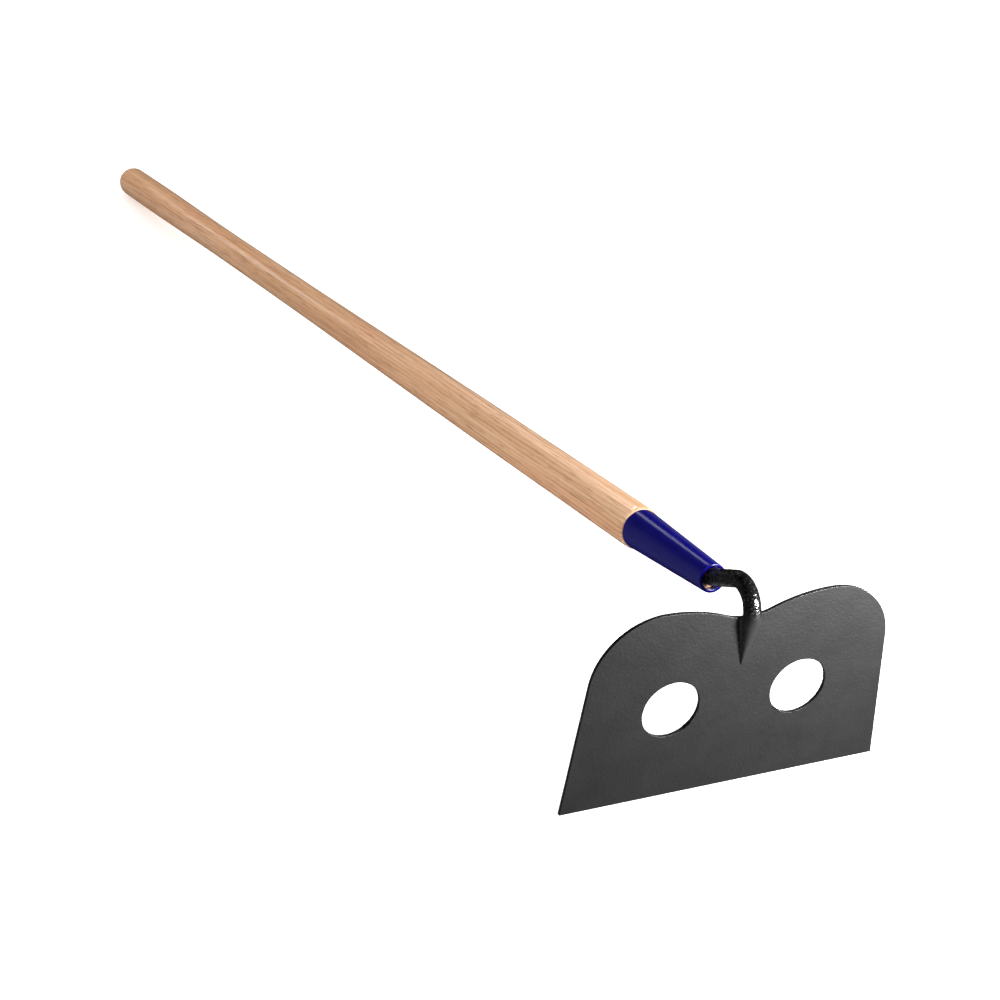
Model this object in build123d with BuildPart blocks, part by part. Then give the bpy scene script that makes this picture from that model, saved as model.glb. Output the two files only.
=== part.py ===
from build123d import *
from math import asin, atan2, cos, hypot, radians, sin, sqrt
import os

# A two-hole mortar hoe: a thin steel blade with a heart-shaped top edge, welded to a gooseneck shank
# whose tang is driven into a long ash handle, with a tapered steel ferrule over the joint.
#
# Millimetres. The hoe lies as it is put down on the ground: the cutting edge and the underside of the
# butt end touch Z = 0. X runs along the cutting edge, +Y towards the butt end, +Z up. The origin is the
# middle of the blade's outer bottom corner, the line that the blade stands on.
#
# The blade and the shank are drawn in the blade's own upright position, as (distance across, height)
# or (distance behind the outer face, height above the cutting edge), on planes that lean with the blade.

# ---- blade: sheet steel, 10 in x 6 in ----
blade_width = 254.0  # along the cutting edge
blade_height = 152.0  # cutting edge to the top of either shoulder
blade_thickness = 2.8
shoulder_reach = 65.3  # centre line to the top of a shoulder
shoulder_radius = 52.5  # the outer corner of a shoulder
hump_radius = 129.0  # from the top of a shoulder inwards
valley_floor = 139.7  # height of the notch in the heart
hole_diameter = 44.45  # 1 3/4 in
hole_spacing = 101.6  # 4 in
hole_height = 73.0

# ---- shank: half-inch round bar, forged to a spear at the blade and to a tang in the handle ----
bar_radius = 6.35
neck_kink = 3.2  # the bar leaves the handle's line this far inside the ferrule's mouth
crook = (6.2, 165.8)  # where the neck's centre line turns down over the blade
heel = (-3.6, 141.0)  # where it turns along the blade's outer face
toe = (-0.1, 101.0)  # tip of the spear, on the face
neck_radius = 31.0
crook_radius = 16.9
heel_radius = 8.0
foot_lead = 2.5  # bar of full size past the heel's bend
toe_radius = 0.5
tang_start = 14.0  # depths below the ferrule's mouth
tang_end = 92.0
tang_tip_radius = 2.4

# ---- welds: a fillet along each flank of the foot, and round the bar on the plate's top edge ----
weld_reach = 8.2  # half-width of the welded foot at the plate's top edge
weld_toe_reach = 0.9  # the same at the toe
weld_leg = 5.4  # how far the fillet climbs the bar at the top edge
weld_crest = 0.55  # half-width of the fillet's upper edge, as a share of its reach
weld_cap = 2.9  # height of the fillet above the plate's top edge

# ---- ferrule: tapered steel tube with a lip rolled inwards at its mouth ----
ferrule_mouth = (50.9, 139.4)  # centre of the mouth: behind the outer face, above the cutting edge
ferrule_length = 104.5
ferrule_mouth_radius = 10.8
ferrule_end_radius = 15.35
ferrule_wall = 1.6
ferrule_lip = 2.5  # thickness and length of the rolled lip
ferrule_lip_round = 0.7
ferrule_end_round = 0.4

# ---- handle: one ash pole, 54 in long; its line drops from the blade's normal towards the butt ----
handle_drop = 10.7  # degrees
handle_length = 1371.6
nose_depth = 6.0  # the wood starts this far inside the ferrule's mouth
head_radius = 16.5
waist_radius = 14.8
butt_radius = 16.4
shoulder_length = 4.5  # rounded shoulder just behind the ferrule
# where each stretch of the pole starts and ends, measured from the ferrule's mouth
head_end = 330.0
waist_start = 850.0
waist_end = 990.0
butt_swell_end = 1300.0

# ---- nail that keeps the ferrule on, driven from below ----
nail_place = 80.0  # from the ferrule's mouth
nail_radius = 1.1
nail_length = 9.0
nail_head_radius = 2.3
nail_head_height = 0.9

# ---- the lie of the hoe ----
butt_centre = nose_depth + handle_length - butt_radius  # centre of the round butt end
drop = radians(handle_drop)
butt_behind = ferrule_mouth[0] + butt_centre * cos(drop)
butt_below = butt_centre * sin(drop) - ferrule_mouth[1]
# the ground touches the outer bottom corner and the ball of the butt, so the blade leans by this angle
lean = atan2(butt_below, butt_behind) + asin(butt_radius / hypot(butt_behind, butt_below))

inward = Vector(0, cos(lean), sin(lean))
up_blade = Vector(0, -sin(lean), cos(lean))
# on the outer face: local X across, local Y up the blade, local Z outward
face_plane = Plane(origin=(0, 0, 0), x_dir=(1, 0, 0), z_dir=-inward)
# seen from +X: local X behind the outer face, local Y up the blade
side_plane = Plane(origin=(0, 0, 0), x_dir=inward, z_dir=(1, 0, 0))

mouth = side_plane.from_local_coords(ferrule_mouth)
along_handle = inward * cos(drop) - up_blade * sin(drop)
# local X along the handle from the ferrule's mouth, local Y across it, upwards
handle_plane = Plane(origin=mouth, x_dir=along_handle, z_dir=(1, 0, 0))
handle_axis = Axis(mouth, along_handle)


def ferrule_outer(distance):
    """Outer radius of the ferrule at a distance from its mouth."""
    share = distance / ferrule_length
    return ferrule_mouth_radius + (ferrule_end_radius - ferrule_mouth_radius) * share


# ---- blade ----
half_width = blade_width / 2
shoulder_centre = Vector(shoulder_reach, blade_height - shoulder_radius)
corner = Vector(half_width, 0)
to_shoulder = shoulder_centre - corner
# the side is the straight line from the corner that touches the shoulder's arc
side_angle = atan2(to_shoulder.Y, to_shoulder.X) - asin(shoulder_radius / to_shoulder.length)
side_length = sqrt(to_shoulder.length**2 - shoulder_radius**2)
side_direction = Vector(cos(side_angle), sin(side_angle))
side_top = corner + side_direction * side_length
shoulder_top = Vector(shoulder_reach, blade_height)
# the notch is the arc about the centre line that runs on smoothly from the hump
hump_centre = Vector(shoulder_reach, blade_height - hump_radius)
floor_over_hump = valley_floor - hump_centre.Y
valley_radius = (shoulder_reach**2 + floor_over_hump**2 - hump_radius**2) / (
    2 * (hump_radius - floor_over_hump)
)
valley_centre = Vector(0, valley_floor + valley_radius)
hump_end = hump_centre + (valley_centre - hump_centre).normalized() * hump_radius

with BuildSketch(face_plane) as blade_face:
    with BuildLine():
        Line((0, 0), corner)
        Line(corner, side_top)
        TangentArc(side_top, shoulder_top, tangent=side_direction)
        TangentArc(shoulder_top, hump_end, tangent=(-1, 0))
        TangentArc((0, valley_floor), hump_end, tangent=(1, 0))
        mirror(about=Plane.YZ)
    make_face()
    with GridLocations(hole_spacing, 1, 2, 1):
        with Locations((0, hole_height)):
            Circle(hole_diameter / 2, mode=Mode.SUBTRACT)

with BuildPart() as blade:
    extrude(blade_face.sketch, amount=blade_thickness, dir=inward)

# ---- shank ----
neck_root = side_plane.to_local_coords(mouth + along_handle * neck_kink)
tang_root = side_plane.to_local_coords(mouth + along_handle * tang_start)
foot_run = (Vector(*toe) - Vector(*heel)).normalized()
foot_start = Vector(*heel) + foot_run * foot_lead

with BuildPart() as shank:
    with BuildLine(side_plane) as bar_line:
        FilletPolyline(
            (tang_root.X, tang_root.Y),
            (neck_root.X, neck_root.Y),
            crook,
            heel,
            (foot_start.X, foot_start.Y),
            radius=[neck_radius, crook_radius, heel_radius],
        )
    bar_start = Plane(origin=bar_line.line @ 0, z_dir=bar_line.line % 0)
    bar_end = Plane(origin=bar_line.line @ 1, z_dir=bar_line.line % 1)
    with BuildSketch(bar_start):
        Circle(bar_radius)
    sweep(path=bar_line.line)
    # the spear: a long point whose inner half is ground away against the plate
    foot_length = (Vector(*toe) - foot_start).length
    with BuildSketch(bar_end):
        Circle(bar_radius)
    with BuildSketch(bar_end.offset(foot_length)):
        Circle(toe_radius)
    loft()
    # the tang: a long taper down the middle of the handle
    with BuildSketch(bar_start):
        Circle(bar_radius)
    with BuildSketch(bar_start.offset(tang_start - tang_end)):
        Circle(tang_tip_radius)
    loft()
    # everything behind the outer face and below the plate's top edge is the plate's place
    extrude(blade_face.sketch, amount=4 * bar_radius, dir=inward, mode=Mode.SUBTRACT)

# ---- welds ----
# level with the bottom of the notch, looking down the blade: local X across, local Y inwards
weld_top = Plane(origin=up_blade * valley_floor, x_dir=(1, 0, 0), z_dir=up_blade)


def weld_section(reach):
    """One cross-section of both fillets, before the bar is taken out of it."""
    climb = reach * weld_leg / weld_reach
    Polyline(
        (-reach, 0),
        (reach, 0),
        (reach * weld_crest, -climb),
        (-reach * weld_crest, -climb),
        close=True,
    )


with BuildPart() as weld:
    # a cone round the bar on the top edge, kept only over the plate and the two fillets
    with BuildSketch(weld_top):
        with Locations((0, heel[0])):
            Circle(weld_reach)
    extrude(amount=weld_cap, taper=45)
    with BuildSketch(weld_top):
        with Locations((0, (blade_thickness - weld_leg) / 2)):
            Rectangle(4 * weld_reach, blade_thickness + weld_leg)
    extrude(amount=weld_cap, mode=Mode.INTERSECT)
    with BuildSketch(weld_top):
        with BuildLine():
            weld_section(weld_reach)
        make_face()
    with BuildSketch(weld_top.offset(toe[1] - valley_floor)):
        with BuildLine():
            weld_section(weld_toe_reach)
        make_face()
    loft()
    add(shank.part, mode=Mode.SUBTRACT)
    add(blade.part, mode=Mode.SUBTRACT)

with BuildPart() as weld_bead_right:
    add(weld.part)
    split(bisect_by=Plane.YZ, keep=Keep.TOP)

with BuildPart() as weld_bead_left:
    add(weld.part)
    split(bisect_by=Plane.YZ, keep=Keep.BOTTOM)

# ---- ferrule ----
nail_entry = ferrule_outer(nail_place)
# local Z points out of the ferrule's underside; the origin is on the handle's axis
nail_plane = Plane(
    origin=handle_plane.from_local_coords((nail_place, 0)),
    x_dir=handle_plane.x_dir,
    z_dir=-handle_plane.y_dir,
)
nail_tip_plane = nail_plane.offset(nail_entry - nail_length)
# the lip eases into the tube's wall at 45 degrees
lip_root = 2 * ferrule_lip - ferrule_wall

with BuildPart() as ferrule:
    with BuildSketch(handle_plane):
        with BuildLine():
            Polyline(
                (0, ferrule_mouth_radius - ferrule_lip),
                (0, ferrule_mouth_radius),
                (ferrule_length, ferrule_end_radius),
                (ferrule_length, ferrule_end_radius - ferrule_wall),
                (lip_root, ferrule_outer(lip_root) - ferrule_wall),
                (ferrule_lip, ferrule_mouth_radius - ferrule_lip),
                close=True,
            )
        make_face()
    revolve(axis=handle_axis)
    ferrule_rims = ferrule.edges().filter_by(GeomType.CIRCLE).sort_by(handle_axis)
    fillet(ferrule_rims[:2], radius=ferrule_lip_round)
    far_rims = ferrule.edges().filter_by(GeomType.CIRCLE).sort_by(handle_axis)[-2:]
    fillet(far_rims.sort_by(SortBy.RADIUS)[-1], radius=ferrule_end_round)
    with BuildSketch(nail_tip_plane):
        Circle(nail_radius)
    extrude(amount=2 * nail_length, mode=Mode.SUBTRACT)

# ---- nail ----
with BuildPart() as ferrule_nail:
    with BuildSketch(nail_tip_plane):
        Circle(nail_radius)
    extrude(amount=nail_length)
    with BuildSketch(nail_plane.offset(nail_entry - ferrule_wall / 2)):
        Circle(nail_head_radius)
    extrude(amount=ferrule_wall / 2 + nail_head_height)
    head_rim = ferrule_nail.edges().filter_by(GeomType.CIRCLE).sort_by(Axis(mouth, -handle_plane.y_dir))
    fillet(head_rim[-1], radius=nail_head_height / 2)
    add(ferrule.part, mode=Mode.SUBTRACT)

# ---- handle ----
shoulder_end = ferrule_length + shoulder_length
butt_end = nose_depth + handle_length

with BuildPart() as handle:
    with BuildSketch(handle_plane):
        with BuildLine():
            Polyline(
                (nose_depth, 0),
                (nose_depth, ferrule_outer(nose_depth) - ferrule_wall),
                (ferrule_length, ferrule_end_radius - ferrule_wall),
                (ferrule_length, ferrule_end_radius),
            )
            TangentArc((shoulder_end, head_radius), (ferrule_length, ferrule_end_radius), tangent=(-1, 0))
            Line((shoulder_end, head_radius), (head_end, head_radius))
            Spline((head_end, head_radius), (waist_start, waist_radius), tangents=[(1, 0), (1, 0)])
            Line((waist_start, waist_radius), (waist_end, waist_radius))
            Spline((waist_end, waist_radius), (butt_swell_end, butt_radius), tangents=[(1, 0), (1, 0)])
            Line((butt_swell_end, butt_radius), (butt_centre, butt_radius))
            TangentArc((butt_centre, butt_radius), (butt_end, 0), tangent=(1, 0))
            Line((butt_end, 0), (nose_depth, 0))
        make_face()
    revolve(axis=handle_axis)
    # the tang and the nail are driven in, so the wood has exactly their shapes
    add(shank.part, mode=Mode.SUBTRACT)
    add(ferrule_nail.part, mode=Mode.SUBTRACT)

# ---- write the pieces ----
pieces = {
    "handle": handle,
    "ferrule": ferrule,
    "ferrule_nail": ferrule_nail,
    "shank": shank,
    "blade": blade,
    "weld_bead_left": weld_bead_left,
    "weld_bead_right": weld_bead_right,
}

os.makedirs("parts", exist_ok=True)
for name, piece in pieces.items():
    piece.part.label = name
    export_step(piece.part, f"parts/{name}.step")
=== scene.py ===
import math

import bmesh
import bpy
import numpy as np
from mathutils import Matrix, Vector, noise
from mathutils.geometry import delaunay_2d_cdt


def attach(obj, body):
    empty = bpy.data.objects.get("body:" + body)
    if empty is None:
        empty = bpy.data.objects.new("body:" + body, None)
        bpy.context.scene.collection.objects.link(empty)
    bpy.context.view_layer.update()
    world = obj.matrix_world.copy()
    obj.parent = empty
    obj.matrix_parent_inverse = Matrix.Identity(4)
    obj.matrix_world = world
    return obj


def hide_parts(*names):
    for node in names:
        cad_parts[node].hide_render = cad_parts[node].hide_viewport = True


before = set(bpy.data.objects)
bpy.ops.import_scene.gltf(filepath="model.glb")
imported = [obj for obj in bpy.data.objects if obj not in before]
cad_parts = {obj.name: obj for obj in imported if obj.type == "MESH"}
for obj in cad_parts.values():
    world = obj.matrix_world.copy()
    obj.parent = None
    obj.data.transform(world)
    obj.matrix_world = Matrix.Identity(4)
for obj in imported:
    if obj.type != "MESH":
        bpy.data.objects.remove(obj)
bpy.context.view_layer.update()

# The looks of the two-hole mortar hoe. Shapes are worked out in millimetres, in the blade's own upright
# position, and placed in the row frame, in metres, by at() and along().
MM = 0.001
MERGE_DISTANCE = 2e-6  # metres; vertices closer than this become one

# ---- the lie of the hoe: the same driving sizes as the CAD part ----
LEAN = math.radians(5.340908)
DROP = math.radians(10.7)
MOUTH_BEHIND, MOUTH_HEIGHT = 50.9, 139.4


def at(across, behind, height):
    """Row-frame place of a point given across the blade, behind its outer face and above its edge."""
    return Vector(
        (
            across * MM,
            (behind * math.cos(LEAN) - height * math.sin(LEAN)) * MM,
            (behind * math.sin(LEAN) + height * math.cos(LEAN)) * MM,
        )
    )


MOUTH = at(0, MOUTH_BEHIND, MOUTH_HEIGHT)
HANDLE_DIP = DROP - LEAN
ALONG = Vector((0, math.cos(HANDLE_DIP), -math.sin(HANDLE_DIP)))
ACROSS = Vector((1, 0, 0))
ABOVE = ACROSS.cross(ALONG)


def make_mesh(name, verts, faces):
    """A smooth-shaded mesh object with outward normals and no doubled vertices."""
    mesh = bpy.data.meshes.new(name)
    mesh.from_pydata([tuple(v) for v in verts], [], faces)
    work = bmesh.new()
    work.from_mesh(mesh)
    bmesh.ops.remove_doubles(work, verts=work.verts, dist=MERGE_DISTANCE)
    bmesh.ops.dissolve_degenerate(work, dist=MERGE_DISTANCE / 2, edges=work.edges)
    bmesh.ops.recalc_face_normals(work, faces=work.faces)
    work.to_mesh(mesh)
    work.free()
    for polygon in mesh.polygons:
        polygon.use_smooth = True
    piece = bpy.data.objects.new(name, mesh)
    bpy.context.scene.collection.objects.link(piece)
    return piece


def rings_to_faces(rings, size, close_ends=True):
    """Quads between neighbouring closed rings of the same size, with a fan at either end."""
    faces = []
    for i in range(rings - 1):
        for j in range(size):
            k = (j + 1) % size
            faces.append((i * size + j, i * size + k, (i + 1) * size + k, (i + 1) * size + j))
    if close_ends:
        faces.append(tuple(range(size)))
        faces.append(tuple((rings - 1) * size + j for j in range(size)))
    return faces


def arc(centre, radius, start, end, steps):
    """Points of an arc, angles in degrees, both ends included."""
    return [
        (
            centre[0] + radius * math.cos(math.radians(start + (end - start) * i / steps)),
            centre[1] + radius * math.sin(math.radians(start + (end - start) * i / steps)),
        )
        for i in range(steps + 1)
    ]


def line(start, end, steps):
    """Evenly spaced points from start up to, but not including, end."""
    return [
        (start[0] + (end[0] - start[0]) * i / steps, start[1] + (end[1] - start[1]) * i / steps)
        for i in range(steps)
    ]


def lathe(name, profile, segments, closed):
    """Turns a profile of (distance from the mouth, radius) about the handle's axis."""
    verts = []
    for distance, radius in profile:
        for j in range(segments):
            angle = 2 * math.pi * j / segments
            place = MOUTH + ALONG * (distance * MM)
            verts.append(place + (ACROSS * math.cos(angle) + ABOVE * math.sin(angle)) * (radius * MM))
    count = len(profile)
    faces = rings_to_faces(count, segments, close_ends=not closed)
    if closed:
        last = (count - 1) * segments
        for j in range(segments):
            k = (j + 1) % segments
            faces.append((last + j, last + k, k, j))
    return make_mesh(name, verts, faces)


# ---- blade ----
BLADE_THICKNESS = 2.8
HALF_WIDTH = 127.0
BLADE_HEIGHT = 152.0
SHOULDER_REACH, SHOULDER_RADIUS, HUMP_RADIUS = 65.3, 52.5, 129.0
VALLEY_FLOOR = 139.7
HOLE_RADIUS, HOLE_HALF_SPACING, HOLE_HEIGHT = 22.225, 50.8, 73.0
EDGE_ROUND = 0.14
SUPPORT_INSET = 0.55
BLADE_GRID = 3.2  # between the inner vertices of either face
ROW_PITCH = 0.866  # of the grid's rows, as a share of its spacing
BOW, BOW_REACH = 0.015, 60.0  # how far the sheet isn't flat, and over what distance

floor_over_hump = VALLEY_FLOOR - (BLADE_HEIGHT - HUMP_RADIUS)
VALLEY_RADIUS = (SHOULDER_REACH**2 + floor_over_hump**2 - HUMP_RADIUS**2) / (
    2 * (HUMP_RADIUS - floor_over_hump)
)


def valley_height(across):
    """Height of the blade's top edge close to its middle."""
    return VALLEY_FLOOR + VALLEY_RADIUS - math.sqrt(VALLEY_RADIUS**2 - across**2)


def blade_outline():
    """The blade's outline, anticlockwise from the middle of the cutting edge, about 1.2 mm apart."""
    centre = (SHOULDER_REACH, BLADE_HEIGHT - SHOULDER_RADIUS)
    to_centre = (centre[0] - HALF_WIDTH, centre[1])
    reach = math.hypot(*to_centre)
    side_angle = math.atan2(to_centre[1], to_centre[0]) - math.asin(SHOULDER_RADIUS / reach)
    side_length = math.sqrt(reach**2 - SHOULDER_RADIUS**2)
    side_top = (
        HALF_WIDTH + side_length * math.cos(side_angle),
        side_length * math.sin(side_angle),
    )
    start = math.degrees(math.atan2(side_top[1] - centre[1], side_top[0] - centre[0]))
    hump_centre = (SHOULDER_REACH, BLADE_HEIGHT - HUMP_RADIUS)
    valley_centre = (0.0, VALLEY_FLOOR + VALLEY_RADIUS)
    to_valley = math.degrees(
        math.atan2(valley_centre[1] - hump_centre[1], valley_centre[0] - hump_centre[0])
    )
    points = line((0, 0), (HALF_WIDTH, 0), 100)
    points += line((HALF_WIDTH, 0), side_top, 76)
    points += arc(centre, SHOULDER_RADIUS, start, 90, 66)[:-1]
    points += arc(hump_centre, HUMP_RADIUS, 90, to_valley, 40)[:-1]
    points += arc(valley_centre, VALLEY_RADIUS, to_valley - 180, -90, 14)
    points += [(-x, y) for x, y in points[-2:0:-1]]
    return np.array(points)


def inset(loop, distance):
    """The loop moved towards its left-hand side by distance, with mitred corners."""
    forward = np.roll(loop, -1, axis=0) - loop
    forward /= np.linalg.norm(forward, axis=1)[:, None]
    normal_out = np.stack([-forward[:, 1], forward[:, 0]], axis=1)
    normal_in = np.roll(normal_out, 1, axis=0)
    mitre = normal_out + normal_in
    mitre /= (1 + np.sum(normal_out * normal_in, axis=1))[:, None]
    return loop + mitre * distance


def plate_bow(x, y):
    """How far the sheet's surface lies below the CAD face, in millimetres: it isn't quite flat."""
    return BOW + BOW * noise.noise(Vector((x / BOW_REACH, y / BOW_REACH, 3.7)))


def build_blade():
    """The plate: two triangulated faces joined by rounded edges round the outline and both holes."""
    outline = blade_outline()
    loops = [outline]
    for side in (-1, 1):
        ring = arc((side * HOLE_HALF_SPACING, HOLE_HEIGHT), HOLE_RADIUS, 360, 0, 144)[:-1]
        loops.append(np.array(ring))
    # (distance in from the edge, depth) round the edge, from the outer face to the inner one
    rounding = [
        (EDGE_ROUND * (1 - math.sin(a)), EDGE_ROUND * (1 - math.cos(a)))
        for a in np.linspace(0, math.pi / 2, 6)
    ]
    back = [(d, BLADE_THICKNESS - z) for d, z in reversed(rounding)]
    profile = [(SUPPORT_INSET, 0), *rounding, *back, (SUPPORT_INSET, BLADE_THICKNESS)]

    verts, faces = [], []
    face_loops = []
    for loop in loops:
        base = len(verts)
        size = len(loop)
        for d, z in profile:
            for x, y in inset(loop, d):
                verts.append(at(x, z, y))
        for i in range(len(profile) - 1):
            for j in range(size):
                k = (j + 1) % size
                a, b = base + i * size, base + (i + 1) * size
                faces.append((a + j, a + k, b + k, b + j))
        face_loops.append((inset(loop, SUPPORT_INSET), base, base + (len(profile) - 1) * size))

    inner = []
    for row in range(1, int(BLADE_HEIGHT / (BLADE_GRID * ROW_PITCH)) + 1):
        for column in range(-41, 42):
            x = (column + (0.5 if row % 2 else 0)) * BLADE_GRID
            y = row * BLADE_GRID * ROW_PITCH
            if clear_of_edges((x, y), face_loops, BLADE_GRID * 0.55):
                inner.append((x, y))

    coords, edges, order = [], [], []
    for loop, front, rear in face_loops:
        start = len(coords)
        size = len(loop)
        coords += [Vector((float(x), float(y))) for x, y in loop]
        order += [(front + j, rear + j) for j in range(size)]
        edges += [(start + j, start + (j + 1) % size) for j in range(size)]
    for x, y in inner:
        coords.append(Vector((x, y)))
        order.append((len(verts), len(verts) + 1))
        verts.append(at(x, plate_bow(x, y), y))
        verts.append(at(x, BLADE_THICKNESS - plate_bow(x + 90, y), y))
    out_verts, _, out_faces, source, _, _ = delaunay_2d_cdt(coords, edges, [], 2, 1e-6)
    for face in out_faces:
        picked = [source[v][0] for v in face]
        middle = sum((out_verts[v] for v in face), Vector((0, 0))) / len(face)
        if math.hypot(abs(middle.x) - HOLE_HALF_SPACING, middle.y - HOLE_HEIGHT) < HOLE_RADIUS:
            continue
        faces.append(tuple(order[v][0] for v in picked))
        faces.append(tuple(order[v][1] for v in reversed(picked)))
    return make_mesh("blade_plate", verts, faces)


def clear_of_edges(point, face_loops, gap):
    """Whether a point is on the plate and at least gap from every loop."""
    x, y = point
    outline = face_loops[0][0]
    if not inside(outline, x, y):
        return False
    to_hole = math.hypot(abs(x) - HOLE_HALF_SPACING, y - HOLE_HEIGHT)
    if to_hole < HOLE_RADIUS + SUPPORT_INSET + gap:
        return False
    return float(np.min(np.hypot(outline[:, 0] - x, outline[:, 1] - y))) > gap


def inside(loop, x, y):
    """Whether a point is inside a closed loop."""
    px, py = loop[:, 0], loop[:, 1]
    qx, qy = np.roll(px, -1), np.roll(py, -1)
    crossing = (py > y) != (qy > y)
    with np.errstate(divide="ignore", invalid="ignore"):
        where = (qx - px) * (y - py) / (qy - py) + px
    return int(np.sum(crossing & (x < where))) % 2 == 1


# ---- shank: a round bar along a centre line of straight runs and arcs, (behind, height) ----
BAR_RADIUS = 6.35
NECK_KINK = 3.2
CROOK, HEEL, TOE = (6.2, 165.8), (-3.6, 141.0), (-0.1, 101.0)
NECK_RADIUS, CROOK_RADIUS, HEEL_RADIUS = 31.0, 16.9, 8.0
FOOT_LEAD = 2.5
TOE_RADIUS = 0.5
TANG_START, TANG_END, TANG_TIP = 14.0, 92.0, 2.4
TANG_STEPS, FOOT_STEPS, BEND_STEP = 40, 84, 0.45
FLATTEN_DEPTH = 12.0  # the bar is cut flat along the plate wherever it would go less deep than this
# hammering fades in from the first value to the second: behind the face, and above the edge
HAMMER_BEHIND, HAMMER_ABOVE = (58, 30), (140, 153)


def beside_mouth(distance):
    """(behind, height) of a point on the handle's axis."""
    return (
        MOUTH_BEHIND + distance * math.cos(DROP),
        MOUTH_HEIGHT - distance * math.sin(DROP),
    )


def rounded_path(corners, radii, step):
    """Points and directions along straight runs joined by tangent arcs."""
    pieces = [np.array(corners[0], float)]
    path = []
    for i in range(1, len(corners) - 1):
        a, b, c = (np.array(corners[k], float) for k in (i - 1, i, i + 1))
        u, v = (b - a) / np.linalg.norm(b - a), (c - b) / np.linalg.norm(c - b)
        turn = math.acos(float(np.clip(u @ v, -1, 1)))
        reach = radii[i - 1] * math.tan(turn / 2)
        start, end = b - u * reach, b + v * reach
        sign = math.copysign(1, u[0] * v[1] - u[1] * v[0])
        centre = start + np.array([-u[1], u[0]]) * sign * radii[i - 1]
        count = max(2, int(np.linalg.norm(start - pieces[-1]) / step))
        for k in range(count):
            path.append((pieces[-1] + (start - pieces[-1]) * k / count, u))
        count = max(3, int(radii[i - 1] * turn / step))
        for k in range(count):
            angle = sign * turn * k / count
            cos, sin = math.cos(angle), math.sin(angle)
            spin = np.array([[cos, -sin], [sin, cos]])
            path.append((centre + spin @ (start - centre), spin @ u))
        pieces.append(end)
    last = np.array(corners[-1], float)
    v = (last - pieces[-1]) / np.linalg.norm(last - pieces[-1])
    count = max(2, int(np.linalg.norm(last - pieces[-1]) / step))
    for k in range(count + 1):
        path.append((pieces[-1] + (last - pieces[-1]) * k / count, v))
    return path


def shank_line():
    """(point, direction, radius) of each section, from the tang's tip to the spear's toe."""
    tip = beside_mouth(TANG_END)
    root = beside_mouth(TANG_START)
    toe, heel = np.array(TOE), np.array(HEEL)
    foot = (toe - heel) / np.linalg.norm(toe - heel)
    foot_start = heel + foot * FOOT_LEAD
    foot_length = float(np.linalg.norm(toe - foot_start))
    corners = [root, beside_mouth(NECK_KINK), CROOK, HEEL, tuple(foot_start)]
    back = np.array(root) - np.array(tip)
    sections = []
    for k in range(TANG_STEPS):
        share = k / TANG_STEPS
        radius = TANG_TIP + (BAR_RADIUS - TANG_TIP) * share
        sections.append((np.array(tip) + back * share, back / np.linalg.norm(back), radius))
    bends = [NECK_RADIUS, CROOK_RADIUS, HEEL_RADIUS]
    for place, direction in rounded_path(corners, bends, BEND_STEP):
        sections.append((place, direction, BAR_RADIUS))
    for k in range(1, FOOT_STEPS + 1):
        share = k / FOOT_STEPS
        radius = BAR_RADIUS + (TOE_RADIUS - BAR_RADIUS) * share
        sections.append((foot_start + foot * foot_length * share, foot, radius))
    return sections


def hammered(place, strength):
    """How far the forged surface lies under the bar's true radius, in millimetres."""
    soft = noise.noise(place * 0.25)
    fine = noise.noise(place * 0.85 + Vector((9.1, 2.3, 5.7)))
    return strength * max(0.0, 0.1 + 0.2 * soft + 0.2 * fine)


SHANK_SEGMENTS = 96


def build_shank():
    """The bar: lumpy where it was bent hot, smooth on the spear, flat where it lies on the plate."""
    sections = shank_line()
    verts = []
    for place, direction, radius in sections:
        normal = np.array([-direction[1], direction[0]])
        # full strength round the bend, none on the tang, the spear and just inside the ferrule
        bend = smooth_step(place[0], *HAMMER_BEHIND) * smooth_step(place[1], *HAMMER_ABOVE)
        for j in range(SHANK_SEGMENTS):
            angle = 2 * math.pi * j / SHANK_SEGMENTS
            out = (math.cos(angle), math.sin(angle))
            spot = place + normal * out[1] * radius
            dent = hammered(Vector((out[0] * radius, spot[0], spot[1])), bend)
            reach = radius - dent
            across = out[0] * reach
            behind, height = place + normal * out[1] * reach
            if 0 < behind < FLATTEN_DEPTH and height < valley_height(across):
                behind = 0.0
            verts.append(at(across, behind, height))
    return make_mesh("shank_bar", verts, rings_to_faces(len(sections), SHANK_SEGMENTS))


def smooth_step(value, low, high):
    """0 at low, 1 at high, smooth between; low may be the larger."""
    share = min(1.0, max(0.0, (value - low) / (high - low)))
    return share * share * (3 - 2 * share)


# ---- welds: a concave fillet that runs up the spear's flank and over the plate's top edge ----
WELD_BOTTOM = 101.6  # height above the edge, just over the spear's toe
WELD_REACH, WELD_CLIMB = 2.4, 3.0  # along the plate and up the bar, at full size
WELD_HOLLOW = 0.3  # how far the fillet is pulled into its corner
WELD_STEPS = 12


def bar_half_width(behind, height):
    """Half the bar's width across the blade at a place beside its centre line, or 0 outside it."""
    toe, heel = np.array(TOE), np.array(HEEL)
    foot = (toe - heel) / np.linalg.norm(toe - heel)
    start = heel + foot * FOOT_LEAD
    place = np.array([behind, height])
    down = float((place - start) @ foot)
    if down > 0:
        share = min(1.0, down / float(np.linalg.norm(toe - start)))
        centre = start + foot * down
        radius = BAR_RADIUS + (TOE_RADIUS - BAR_RADIUS) * share
    else:
        up = (np.array(CROOK) - heel) / np.linalg.norm(np.array(CROOK) - heel)
        rise = float((place - heel) @ up)
        centre = heel + up * rise if rise > 0 else start + foot * down
        radius = BAR_RADIUS
    off = float(np.linalg.norm(place - centre))
    return math.sqrt(max(0.0, radius**2 - off**2))


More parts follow.
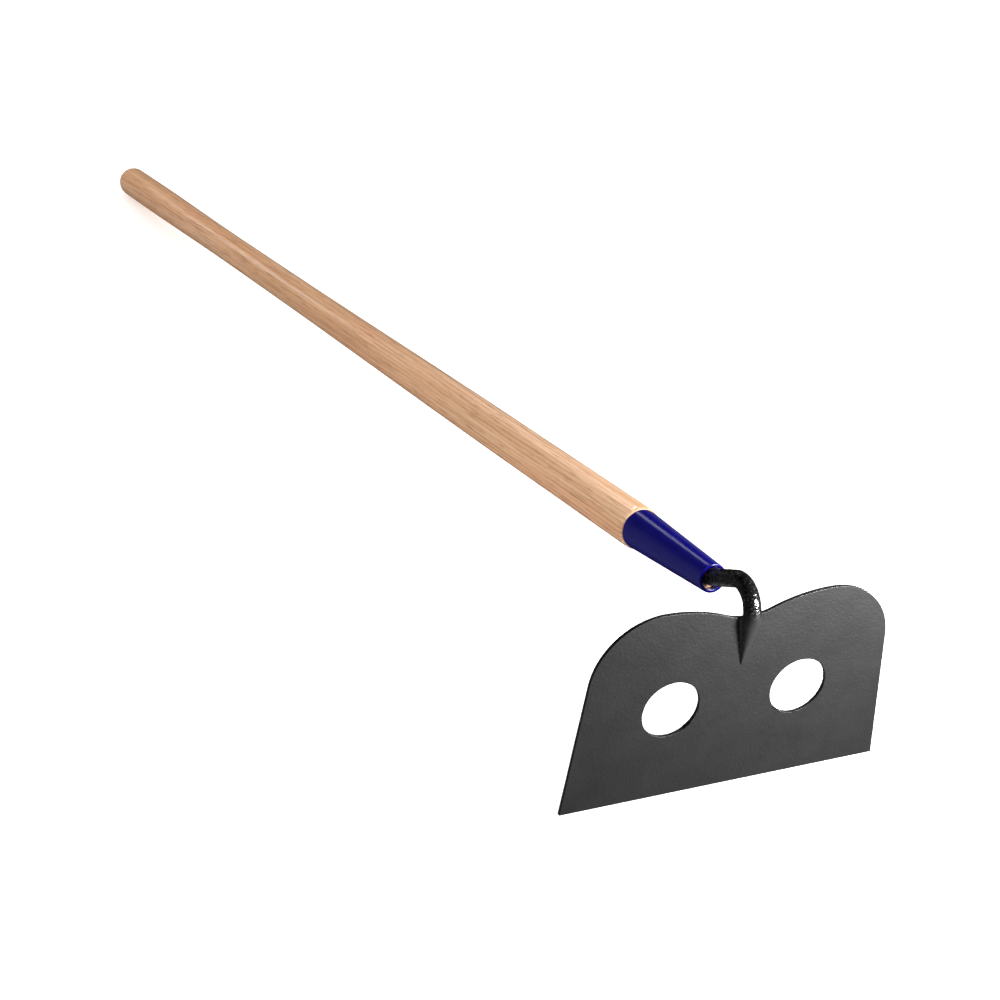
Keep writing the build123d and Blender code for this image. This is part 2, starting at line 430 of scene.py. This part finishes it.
def weld_stations():
    """(behind, height, direction up the bar, size along the plate, size up the bar), toe to back."""
    stations = []
    rise = VALLEY_FLOOR - WELD_BOTTOM
    for k in range(97):
        share = k / 96
        size = 0.05 + 0.95 * share**0.9
        height = WELD_BOTTOM + rise * share
        stations.append((0.0, height, (-1.0, 0.0), WELD_REACH * size, WELD_CLIMB * size))
    for k in range(1, 13):
        angle = math.radians(90 * k / 12)
        up = (-math.cos(angle), math.sin(angle))
        stations.append((0.0, VALLEY_FLOOR, up, WELD_REACH, WELD_CLIMB))
    for k in range(1, 9):
        behind = BLADE_THICKNESS * k / 8
        stations.append((behind, VALLEY_FLOOR, (0.0, 1.0), WELD_REACH, WELD_CLIMB))
    return stations


def build_weld(name, side):
    """One bead. side is 1 on the right and -1 on the left."""
    verts = []
    for behind, height, (go_behind, go_height), reach, climb in weld_stations():
        root = bar_half_width(behind, height)
        plate_x = root + reach
        plate_h = height if go_height < 0.01 else valley_height(plate_x)
        plate = np.array([plate_x, behind, plate_h])
        top_b, top_h = behind + go_behind * climb, height + go_height * climb
        bar = np.array([bar_half_width(top_b, top_h), top_b, top_h])
        corner = np.array([root, behind, height])
        ring = []
        for k in range(WELD_STEPS + 1):
            v = k / WELD_STEPS
            # a quadratic curve pulled towards the corner, so the fillet is hollow
            pull = corner * WELD_HOLLOW + (plate + bar) / 2 * (1 - WELD_HOLLOW)
            ring.append(plate * (1 - v) ** 2 + pull * 2 * v * (1 - v) + bar * v**2)
        for k in range(1, 6):
            v = k / 6
            b, h = top_b + (behind - top_b) * v, top_h + (height - top_h) * v
            ring.append(np.array([bar_half_width(b, h), b, h]))
        ring.append(corner)
        for k in range(1, 5):
            x = root + reach * k / 5
            h = height if go_height < 0.01 else valley_height(x)
            ring.append(np.array([x, behind, h]))
        verts += [at(side * x, b, h) for x, b, h in ring]
    size = WELD_STEPS + 11
    return make_mesh(name, verts, rings_to_faces(len(verts) // size, size))


# ---- ferrule ----
FERRULE_LENGTH = 104.5
FERRULE_MOUTH, FERRULE_END, FERRULE_WALL = 10.8, 15.35, 1.6
LIP, LIP_ROUND = 2.5, 0.7


def ferrule_outer(distance):
    """Outer radius of the ferrule at a distance from its mouth."""
    return FERRULE_MOUTH + (FERRULE_END - FERRULE_MOUTH) * distance / FERRULE_LENGTH


def build_ferrule():
    """A tapered tube with a rolled lip at the mouth and an eased edge at the handle end."""
    profile = arc((LIP_ROUND, FERRULE_MOUTH - LIP_ROUND), LIP_ROUND, 180, 90, 10)
    outer = np.linspace(LIP_ROUND + 0.6, FERRULE_LENGTH - 1.0, 44)
    profile += [(d, ferrule_outer(d)) for d in outer]
    profile += arc((FERRULE_LENGTH - 0.35, FERRULE_END - 0.37), 0.35, 88, 0, 5)
    profile += [(FERRULE_LENGTH, FERRULE_END - FERRULE_WALL + 0.1)]
    profile += [(FERRULE_LENGTH - 0.1, FERRULE_END - FERRULE_WALL)]
    inner = np.linspace(FERRULE_LENGTH - 1.0, 2 * LIP - FERRULE_WALL + 0.15, 30)
    profile += [(d, ferrule_outer(d) - FERRULE_WALL) for d in inner]
    profile += [(LIP + 0.12, FERRULE_MOUTH - LIP + 0.1), (LIP - 0.1, FERRULE_MOUTH - LIP)]
    profile += arc((LIP_ROUND, FERRULE_MOUTH - LIP + LIP_ROUND), LIP_ROUND, 270, 180, 10)
    return lathe("ferrule_tube", profile, 192, closed=True)


# ---- handle ----
NOSE_DEPTH = 6.0
HANDLE_LENGTH = 1371.6
HEAD_RADIUS, WAIST_RADIUS, BUTT_RADIUS = 16.5, 14.8, 16.4
SHOULDER_LENGTH = 4.5
HEAD_END, WAIST_START, WAIST_END, SWELL_END = 330.0, 850.0, 990.0, 1300.0
BUTT_END = NOSE_DEPTH + HANDLE_LENGTH
BUTT_CENTRE = BUTT_END - BUTT_RADIUS


def handle_radius(distance):
    """Radius of the pole behind its shoulder."""
    if distance < WAIST_START:
        share = smooth_step(distance, HEAD_END, WAIST_START)
        return HEAD_RADIUS + (WAIST_RADIUS - HEAD_RADIUS) * share
    share = smooth_step(distance, WAIST_END, SWELL_END)
    return WAIST_RADIUS + (BUTT_RADIUS - WAIST_RADIUS) * share


def build_handle():
    """The pole, with the tang's pilot bore, the tapered nose, the shoulder and the domed butt."""
    clearance = 0.05
    bore = [(TANG_END + 0.5, 0.4), (TANG_END + 0.5, TANG_TIP), (TANG_END, TANG_TIP + clearance)]
    for d in np.linspace(TANG_END - 4, TANG_START, 18):
        tang = TANG_TIP + (BAR_RADIUS - TANG_TIP) * (TANG_END - d) / (TANG_END - TANG_START)
        bore.append((d, tang + clearance))
    bore += [(NOSE_DEPTH + 1, BAR_RADIUS + 0.1), (NOSE_DEPTH + 0.25, BAR_RADIUS + 0.12)]
    bore += [(NOSE_DEPTH, BAR_RADIUS + 0.35)]
    nose_radius = ferrule_outer(NOSE_DEPTH) - FERRULE_WALL
    nose = [(NOSE_DEPTH, nose_radius - 0.7), (NOSE_DEPTH + 0.25, nose_radius - 0.25)]
    seat = np.linspace(NOSE_DEPTH + 0.8, FERRULE_LENGTH - 0.4, 30)
    nose += [(d, ferrule_outer(d) - FERRULE_WALL) for d in seat]
    nose += [(FERRULE_LENGTH, FERRULE_END - FERRULE_WALL), (FERRULE_LENGTH, FERRULE_END - 0.5)]
    rise = HEAD_RADIUS - FERRULE_END
    shoulder = []
    for k in range(0, 11):
        a = math.pi / 2 * k / 10
        back = FERRULE_LENGTH + SHOULDER_LENGTH * (1 - math.cos(a))
        shoulder.append((back, FERRULE_END + rise * math.sin(a)))
    stretch = np.linspace(FERRULE_LENGTH + SHOULDER_LENGTH + 1, BUTT_CENTRE, 420)
    pole = [(d, handle_radius(d)) for d in stretch]
    butt = arc((BUTT_CENTRE, 0), BUTT_RADIUS, 90, 1.2, 40)[1:]
    return lathe("handle_pole", bore + nose + shoulder + pole + butt, 160, closed=False)


# ---- nail ----
NAIL_PLACE, NAIL_RADIUS, NAIL_LENGTH = 80.0, 1.1, 9.0
NAIL_HEAD_RADIUS, NAIL_HEAD_HEIGHT = 2.3, 0.9


def build_nail():
    """A short nail driven up through the ferrule's underside, with a low domed head."""
    surface = ferrule_outer(NAIL_PLACE)
    tip = surface - NAIL_LENGTH
    profile = [(tip, 0.15), (tip + 0.9, 0.55), (tip + 2.2, NAIL_RADIUS)]
    profile += [(d, NAIL_RADIUS) for d in np.linspace(tip + 3, surface - 0.8, 6)]
    profile += [(surface - 0.8, NAIL_HEAD_RADIUS - 0.15), (surface - 0.6, NAIL_HEAD_RADIUS)]
    profile += [(surface + 0.25, NAIL_HEAD_RADIUS)]
    for k in range(1, 10):
        a = math.pi / 2 * k / 9
        profile.append(
            (
                surface + 0.25 + (NAIL_HEAD_HEIGHT - 0.25) * math.sin(a),
                max(0.12, NAIL_HEAD_RADIUS * math.cos(a) ** 0.8),
            )
        )
    segments = 48
    verts = []
    base = MOUTH + ALONG * (NAIL_PLACE * MM)
    for out, radius in profile:
        for j in range(segments):
            angle = 2 * math.pi * j / segments
            side = ACROSS * math.cos(angle) + ALONG * math.sin(angle)
            verts.append(base - ABOVE * (out * MM) + side * (radius * MM))
    return make_mesh("ferrule_nail_head", verts, rings_to_faces(len(profile), segments))


# ---- materials ----
def new_material(name):
    """An empty node material with a Principled shader and an output."""
    material = bpy.data.materials.new(name)
    material.use_nodes = True
    tree = material.node_tree
    tree.nodes.clear()
    shader = tree.nodes.new("ShaderNodeBsdfPrincipled")
    output = tree.nodes.new("ShaderNodeOutputMaterial")
    tree.links.new(shader.outputs["BSDF"], output.inputs["Surface"])
    return material, tree, shader


def object_coords(tree, location=(0, 0, 0), rotation=(0, 0, 0)):
    """A place in the piece's own frame, in metres, turned and shifted."""
    source = tree.nodes.new("ShaderNodeTexCoord")
    mapping = tree.nodes.new("ShaderNodeMapping")
    mapping.inputs["Location"].default_value = location
    mapping.inputs["Rotation"].default_value = rotation
    tree.links.new(source.outputs["Object"], mapping.inputs["Vector"])
    return mapping.outputs["Vector"]


def noise_node(tree, vector, scale, detail=2.0, rough=0.5):
    """Noise from 0 to 1; scale is in cycles per unit of the vector."""
    made = tree.nodes.new("ShaderNodeTexNoise")
    made.inputs["Scale"].default_value = scale
    made.inputs["Detail"].default_value = detail
    made.inputs["Roughness"].default_value = rough
    tree.links.new(vector, made.inputs["Vector"])
    return made.outputs["Fac"]


def ramp_node(tree, value, stops):
    """The colour for a value, from (value, colour) stops."""
    made = tree.nodes.new("ShaderNodeValToRGB")
    while len(made.color_ramp.elements) < len(stops):
        made.color_ramp.elements.new(0.5)
    for element, (place, colour) in zip(made.color_ramp.elements, stops):
        element.position = place
        element.color = (*colour, 1)
    tree.links.new(value, made.inputs["Fac"])
    return made.outputs["Color"]


def math_node(tree, operation, a, b=None, c=None):
    """A Math node's output; a, b and c are numbers or sockets."""
    made = tree.nodes.new("ShaderNodeMath")
    made.operation = operation
    for socket, value in zip(made.inputs, (a, b, c)):
        if value is None:
            continue
        if isinstance(value, (int, float)):
            socket.default_value = value
        else:
            tree.links.new(value, socket)
    return made.outputs[0]


def mix_colour(tree, share, a, b):
    """Colour a where share is 0 and b where it is 1; each is a tuple or a socket."""
    made = tree.nodes.new("ShaderNodeMix")
    made.data_type = "RGBA"
    for socket, value in ((made.inputs[0], share), (made.inputs[6], a), (made.inputs[7], b)):
        if isinstance(value, tuple):
            socket.default_value = (*value, 1)
        else:
            tree.links.new(value, socket)
    return made.outputs[2]


def map_range(tree, value, low, high, to_low, to_high):
    """A value from low to high, moved to to_low to to_high and held there."""
    made = tree.nodes.new("ShaderNodeMapRange")
    made.inputs["From Min"].default_value = low
    made.inputs["From Max"].default_value = high
    made.inputs["To Min"].default_value = to_low
    made.inputs["To Max"].default_value = to_high
    tree.links.new(value, made.inputs["Value"])
    return made.outputs["Result"]


def bump_node(tree, height, distance, strength=1.0):
    """A normal bent by a height; distance is in metres."""
    made = tree.nodes.new("ShaderNodeBump")
    made.inputs["Strength"].default_value = strength
    made.inputs["Distance"].default_value = distance
    tree.links.new(height, made.inputs["Height"])
    return made.outputs["Normal"]


def wood_material():
    """Ash under thin clear lacquer: growth rings cut by the pole, fibre streaks and open pores."""
    material, tree, shader = new_material("ash_wood_lacquered")
    # local Y runs along the handle, from the ferrule's mouth
    place = (
        0,
        -(MOUTH.y * math.cos(HANDLE_DIP) - MOUTH.z * math.sin(HANDLE_DIP)),
        -(MOUTH.y * math.sin(HANDLE_DIP) + MOUTH.z * math.cos(HANDLE_DIP)),
    )
    grain = object_coords(tree, place, (HANDLE_DIP, 0, 0))

    def stretched(scale, shift=(0, 0, 0)):
        mapping = tree.nodes.new("ShaderNodeMapping")
        mapping.inputs["Scale"].default_value = scale
        mapping.inputs["Location"].default_value = shift
        tree.links.new(grain, mapping.inputs["Vector"])
        return mapping.outputs["Vector"]

    # growth rings about a pith outside the pole, which drift slowly along its length
    pith = (-0.034, -0.046)  # from the pole's axis, in metres
    ring_drift, ring_slope, rings_per_metre = 0.016, 0.0045, 300.0
    drift = noise_node(tree, stretched((14, 2.2, 14)), 1.0)
    split = tree.nodes.new("ShaderNodeSeparateXYZ")
    tree.links.new(grain, split.inputs[0])
    off_x = math_node(tree, "ADD", split.outputs["X"], -pith[0])
    off_z = math_node(tree, "ADD", split.outputs["Z"], -pith[1])
    square_x = math_node(tree, "MULTIPLY", off_x, off_x)
    square_z = math_node(tree, "MULTIPLY", off_z, off_z)
    radius = math_node(tree, "SQRT", math_node(tree, "ADD", square_x, square_z))
    bent = math_node(tree, "ADD", radius, math_node(tree, "MULTIPLY", drift, ring_drift))
    sloped = math_node(tree, "MULTIPLY", split.outputs["Y"], ring_slope)
    count = math_node(tree, "MULTIPLY", math_node(tree, "ADD", bent, sloped), rings_per_metre)
    # each ring darkens slowly to its late wood, then stops short
    late_wood = [(0.0, 0.0), (0.55, 0.06), (0.86, 0.35), (0.95, 1.0), (1.0, 0.05)]
    ring_line = ramp_node(
        tree, math_node(tree, "FRACT", count), [(stop, (dark,) * 3) for stop, dark in late_wood]
    )
    # fibre streaks, long and thin
    streak = noise_node(tree, stretched((560, 9, 560)), 1.0, 4.0, 0.7)
    broad = noise_node(tree, stretched((95, 2.2, 95), (3.1, 0, 1.7)), 1.0)
    patch = noise_node(tree, stretched((30, 3.0, 30), (7.3, 0, 4.1)), 1.0)
    pores = noise_node(tree, stretched((850, 34, 850), (1.3, 0, 2.2)), 1.0, 2.0, 0.6)

    early, middle, pale = (0.62, 0.33, 0.165), (0.72, 0.425, 0.235), (0.80, 0.53, 0.33)
    warm, late = (0.68, 0.33, 0.17), (0.26, 0.10, 0.04)
    fibre, pore = (0.40, 0.19, 0.085), (0.33, 0.15, 0.065)
    base = ramp_node(tree, broad, [(0.30, early), (0.5, middle), (0.72, pale)])
    base = mix_colour(tree, map_range(tree, patch, 0.4, 0.72, 0.0, 0.6), base, warm)
    lines = math_node(tree, "MULTIPLY", ring_line, map_range(tree, streak, 0.3, 0.7, 0.25, 1.0))
    base = mix_colour(tree, math_node(tree, "MULTIPLY", lines, 0.85), base, late)
    base = mix_colour(tree, map_range(tree, streak, 0.5, 0.68, 0.0, 0.75), base, fibre)
    base = mix_colour(tree, map_range(tree, pores, 0.56, 0.68, 0.0, 0.6), base, pore)
    tree.links.new(base, shader.inputs["Base Color"])
    rough = map_range(tree, streak, 0.3, 0.7, 0.34, 0.5)
    tree.links.new(rough, shader.inputs["Roughness"])
    fibres = math_node(tree, "MULTIPLY", streak, 0.6)
    relief = math_node(tree, "ADD", fibres, math_node(tree, "MULTIPLY", pores, -0.25))
    tree.links.new(bump_node(tree, relief, 0.0009), shader.inputs["Normal"])
    # the lacquer fills most of the grain
    tree.links.new(bump_node(tree, relief, 0.0003), shader.inputs["Coat Normal"])
    shader.inputs["Specular IOR Level"].default_value = 0.42
    shader.inputs["Coat Weight"].default_value = 0.8
    shader.inputs["Coat Roughness"].default_value = 0.15
    return material


def blue_material():
    """Deep blue enamel over the ferrule, thin and slightly uneven."""
    material, tree, shader = new_material("blue_enamel")
    place = object_coords(tree)
    cloud = noise_node(tree, place, 60.0, 3.0, 0.5)
    colour = ramp_node(tree, cloud, [(0.3, (0.0012, 0.0006, 0.09)), (0.7, (0.0018, 0.001, 0.11))])
    tree.links.new(colour, shader.inputs["Base Color"])
    tree.links.new(map_range(tree, cloud, 0.3, 0.7, 0.22, 0.26), shader.inputs["Roughness"])
    peel = noise_node(tree, place, 420.0)
    tree.links.new(bump_node(tree, peel, 0.00006, 0.35), shader.inputs["Normal"])
    return material


def forging_material(name, gloss):
    """Black enamel over a hot-bent bar, with light flecks painted into its colour as glints round the
    bend: glossy round the bend, duller where it meets the plate.
    """
    material, tree, shader = new_material(name)
    place = object_coords(tree)
    split = tree.nodes.new("ShaderNodeSeparateXYZ")
    tree.links.new(place, split.inputs[0])
    # 0 on the foot and 1 above the plate's top edge
    upper = map_range(tree, split.outputs["Z"], 0.138, 0.147, 0.0, 1.0)
    cloud = noise_node(tree, place, 150.0, 3.0, 0.55)
    # light grey flecks painted into the colour above the plate: painted glints standing in for the
    # bend's small highlights, over a faintly mottled black
    glint_specks = noise_node(tree, place, 520.0, 1.0, 0.5)
    black, grey, painted_glint_grey = (0.0012, 0.0012, 0.0013), (0.003, 0.003, 0.003), (0.018, 0.018, 0.017)
    foot = (0.0095, 0.0095, 0.0095)
    enamel = ramp_node(tree, glint_specks, [(0.35, black), (0.58, grey), (0.72, painted_glint_grey)])
    tree.links.new(mix_colour(tree, upper, foot, enamel), shader.inputs["Base Color"])
    shiny = map_range(tree, cloud, 0.3, 0.7, gloss, gloss + 0.1)
    lower = math_node(tree, "SUBTRACT", 1.0, upper)
    duller = math_node(tree, "MULTIPLY_ADD", lower, 0.26, shiny)
    tree.links.new(duller, shader.inputs["Roughness"])
    pits = noise_node(tree, place, 620.0, 2.0, 0.6)
    lumps = noise_node(tree, place, 280.0)
    relief = math_node(tree, "ADD", math_node(tree, "MULTIPLY", pits, 0.4), lumps)
    roughness = math_node(tree, "MULTIPLY_ADD", upper, 0.92, 0.08)
    rough_part = math_node(tree, "MULTIPLY", relief, roughness)
    tree.links.new(bump_node(tree, rough_part, 0.0008), shader.inputs["Normal"])
    shader.inputs["Specular IOR Level"].default_value = 0.32
    return material


def plate_material():
    """Black powder coat on sheet steel, with a fine orange-peel surface."""
    material, tree, shader = new_material("black_plate_coat")
    place = object_coords(tree)
    cloud = noise_node(tree, place, 45.0, 4.0, 0.55)
    colour = ramp_node(tree, cloud, [(0.3, (0.0028, 0.0028, 0.0029)), (0.7, (0.0038, 0.0038, 0.0037))])
    tree.links.new(colour, shader.inputs["Base Color"])
    tree.links.new(map_range(tree, cloud, 0.3, 0.7, 0.455, 0.475), shader.inputs["Roughness"])
    peel = noise_node(tree, place, 520.0)
    coarse = noise_node(tree, place, 190.0)
    relief = math_node(tree, "ADD", peel, math_node(tree, "MULTIPLY", coarse, 0.8))
    tree.links.new(bump_node(tree, relief, 0.0005, 0.4), shader.inputs["Normal"])
    return material


def steel_material():
    """Bright drawn steel with faint scuffs, for the nail."""
    material, tree, shader = new_material("nail_steel")
    place = object_coords(tree)
    scuff = noise_node(tree, place, 1400.0, 3.0, 0.6)
    colour = ramp_node(tree, scuff, [(0.3, (0.40, 0.40, 0.41)), (0.7, (0.56, 0.56, 0.57))])
    tree.links.new(colour, shader.inputs["Base Color"])
    tree.links.new(map_range(tree, scuff, 0.3, 0.7, 0.28, 0.42), shader.inputs["Roughness"])
    tree.links.new(bump_node(tree, scuff, 0.00008, 0.4), shader.inputs["Normal"])
    shader.inputs["Metallic"].default_value = 1.0
    return material


black_bar = forging_material("black_forging_enamel", 0.12)
black_bead = forging_material("black_weld_enamel", 0.2)

finished = [
    (build_handle(), "handle", "ash_wood", wood_material()),
    (build_ferrule(), "ferrule", "blue_paint", blue_material()),
    (build_nail(), "ferrule_nail", "bright_steel", steel_material()),
    (build_shank(), "shank", "black_forging", black_bar),
    (build_blade(), "blade", "black_plate", plate_material()),
    (build_weld("weld_fillet_left", -1), "weld_bead_left", "black_weld", black_bead),
    (build_weld("weld_fillet_right", 1), "weld_bead_right", "black_weld", black_bead),
]
for piece, cad_node, slot, material in finished:
    piece.data.materials.append(material)
    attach(piece, "root")
    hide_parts(cad_node)

# ---- floor, light and camera ----
floor_mesh = bpy.data.meshes.new("studio_floor")
FLOOR_HALF = 14.0
corners = [(-1, -1), (1, -1), (1, 1), (-1, 1)]
floor_mesh.from_pydata([(FLOOR_HALF * x, FLOOR_HALF * y, 0) for x, y in corners], [], [(0, 1, 2, 3)])
floor = bpy.data.objects.new("studio_floor", floor_mesh)
bpy.context.scene.collection.objects.link(floor)
floor_material, _, floor_shader = new_material("studio_floor_white")
floor_shader.inputs["Base Color"].default_value = (0.85, 0.85, 0.85, 1)
# a light table: the floor glows a little, so that the shadows stay pale
floor_shader.inputs["Emission Color"].default_value = (1, 1, 1, 1)
floor_shader.inputs["Emission Strength"].default_value = 0.45
floor_shader.inputs["Roughness"].default_value = 0.9
floor_shader.inputs["Specular IOR Level"].default_value = 0.1
floor.data.materials.append(floor_material)


def area_light(name, place, target, size, power):
    """A white rectangular lamp that faces a point; size is (width, height) in metres."""
    data = bpy.data.lights.new(name, "AREA")
    data.shape = "RECTANGLE"
    data.size, data.size_y = size
    data.energy = power
    lamp = bpy.data.objects.new(name, data)
    lamp.location = place
    lamp.visible_camera = False
    lamp.rotation_euler = (Vector(target) - Vector(place)).to_track_quat("-Z", "Y").to_euler()
    bpy.context.scene.collection.objects.link(lamp)
    return lamp


def shine_only_on(lamp, pieces):
    """Keeps a lamp's light off everything but some pieces, as a barn door on it would."""
    lit = bpy.data.collections.new(lamp.name + "_lit")
    for piece in pieces:
        lit.objects.link(piece)
    lamp.light_linking.receiver_collection = lit


built = {piece.name: piece for piece, *_ in finished}
dark_names = ("shank_bar", "blade_plate", "weld_fillet_left", "weld_fillet_right")
dark_pieces = [piece for name, piece in built.items() if name in dark_names]
other_pieces = [piece for name, piece in built.items() if name not in dark_names]
# name, place, target, size, power in watts, and the only pieces it lights, if not all
LAMPS = [
    ("near_softbox", (0.25, -0.335, 0.262), (0.15, 0, 0.12), (0.14, 0.07), 21, dark_pieces),
    ("side_softbox", (0.29, -0.26, 0.39), (0, 0.08, 0.13), (0.2, 0.15), 8, [*other_pieces, floor]),
    ("rear_softbox", (0.33, 1.9, 1.38), (0, 0.1, 0.12), (0.3, 0.3), 1.1, None),
    ("streak_softbox", (0.38, 1.9, 1.38), (0, 0.3, 0.12), (0.2, 0.2), 9, [built["handle_pole"]]),
    ("far_softbox", (-0.48, 3.0, 0.68), (0, 0.8, 0.06), (0.4, 0.3), 0.6, None),
    ("back_softbox", (1.25, 0.6, 0.09), (0, 0, 0.08), (0.5, 0.1), 8, [built["blade_plate"]]),
    ("top_softbox", (0, 0.4, 3.0), (0, 0.4, 0), (3.0, 3.0), 22, None),
]
for name, place, target, size, power, lit in LAMPS:
    lamp = area_light(name, place, target, size, power)
    if lit:
        shine_only_on(lamp, lit)
# the broad lamp overhead fills the shadows and isn't mirrored
bpy.data.objects["top_softbox"].visible_glossy = False


def studio_world():
    """A bright surround for diffuse light; mirror-like rays see a dark room with a few pale patches."""
    world = bpy.data.worlds.new("studio_world")
    world.use_nodes = True
    tree = world.node_tree
    background = tree.nodes["Background"]
    direction = tree.nodes.new("ShaderNodeTexCoord").outputs["Generated"]

    def lobe(azimuth, elevation, low, high, amount):
        """A soft round patch of brightness."""
        a, e = math.radians(azimuth), math.radians(elevation)
        aim = (math.sin(a) * math.cos(e), math.cos(a) * math.cos(e), math.sin(e))
        dot = tree.nodes.new("ShaderNodeVectorMath")
        dot.operation = "DOT_PRODUCT"
        dot.inputs[1].default_value = aim
        tree.links.new(direction, dot.inputs[0])
        made = tree.nodes.new("ShaderNodeMapRange")
        made.interpolation_type = "SMOOTHSTEP"
        made.inputs["From Min"].default_value = low
        made.inputs["From Max"].default_value = high
        made.inputs["To Min"].default_value = 0.0
        made.inputs["To Max"].default_value = amount
        tree.links.new(dot.outputs["Value"], made.inputs["Value"])
        return made.outputs["Result"]

    def total(base, patches):
        """A base brightness with patches added."""
        level = base
        for patch in patches:
            level = math_node(tree, "ADD", lobe(*patch), level)
        return level

    # (azimuth, elevation, cosine where it fades out, cosine where it is full, brightness)
    room = total(0.006, [
        (-55, -20, 0.6, 0.95, 0.13),
        (92, -26, 0.7, 0.97, 0.3),
        (0, -90, 0.72, 0.95, 0.9),
        (60, 2, 0.82, 0.97, 0.2),
    ])
    surround = total(0.6, [(-85, -5, 0.0, 1.0, 0.42), (80, 20, 0.0, 1.0, 0.3)])
    rays = tree.nodes.new("ShaderNodeLightPath")
    pick = tree.nodes.new("ShaderNodeMix")
    pick.data_type = "FLOAT"
    tree.links.new(surround, pick.inputs[2])
    tree.links.new(rays.outputs["Is Glossy Ray"], pick.inputs[0])
    tree.links.new(room, pick.inputs[3])
    tree.links.new(pick.outputs[0], background.inputs["Strength"])
    background.inputs["Color"].default_value = (1, 1, 1, 1)
    bpy.context.scene.world = world


studio_world()
floor.visible_glossy = False

CAMERA_PLACE = (-0.78646, -1.18656, 0.86328)
camera_data = bpy.data.cameras.new("photo_camera")
camera_data.sensor_width = 36.0
camera_data.lens = 83.80
camera_data.clip_start = 0.05
camera = bpy.data.objects.new("photo_camera", camera_data)
RIGHT = Vector((0.90342, -0.42460, 0.05953)).normalized()
FORWARD = Vector((0.40850, 0.81022, -0.42032)).normalized()
UP = RIGHT.cross(FORWARD)
camera.matrix_world = Matrix(
    (
        (RIGHT.x, UP.x, -FORWARD.x, CAMERA_PLACE[0]),
        (RIGHT.y, UP.y, -FORWARD.y, CAMERA_PLACE[1]),
        (RIGHT.z, UP.z, -FORWARD.z, CAMERA_PLACE[2]),
        (0, 0, 0, 1),
    )
)
bpy.context.scene.collection.objects.link(camera)
bpy.context.scene.camera = camera
bpy.context.scene.view_settings.view_transform = "Standard"
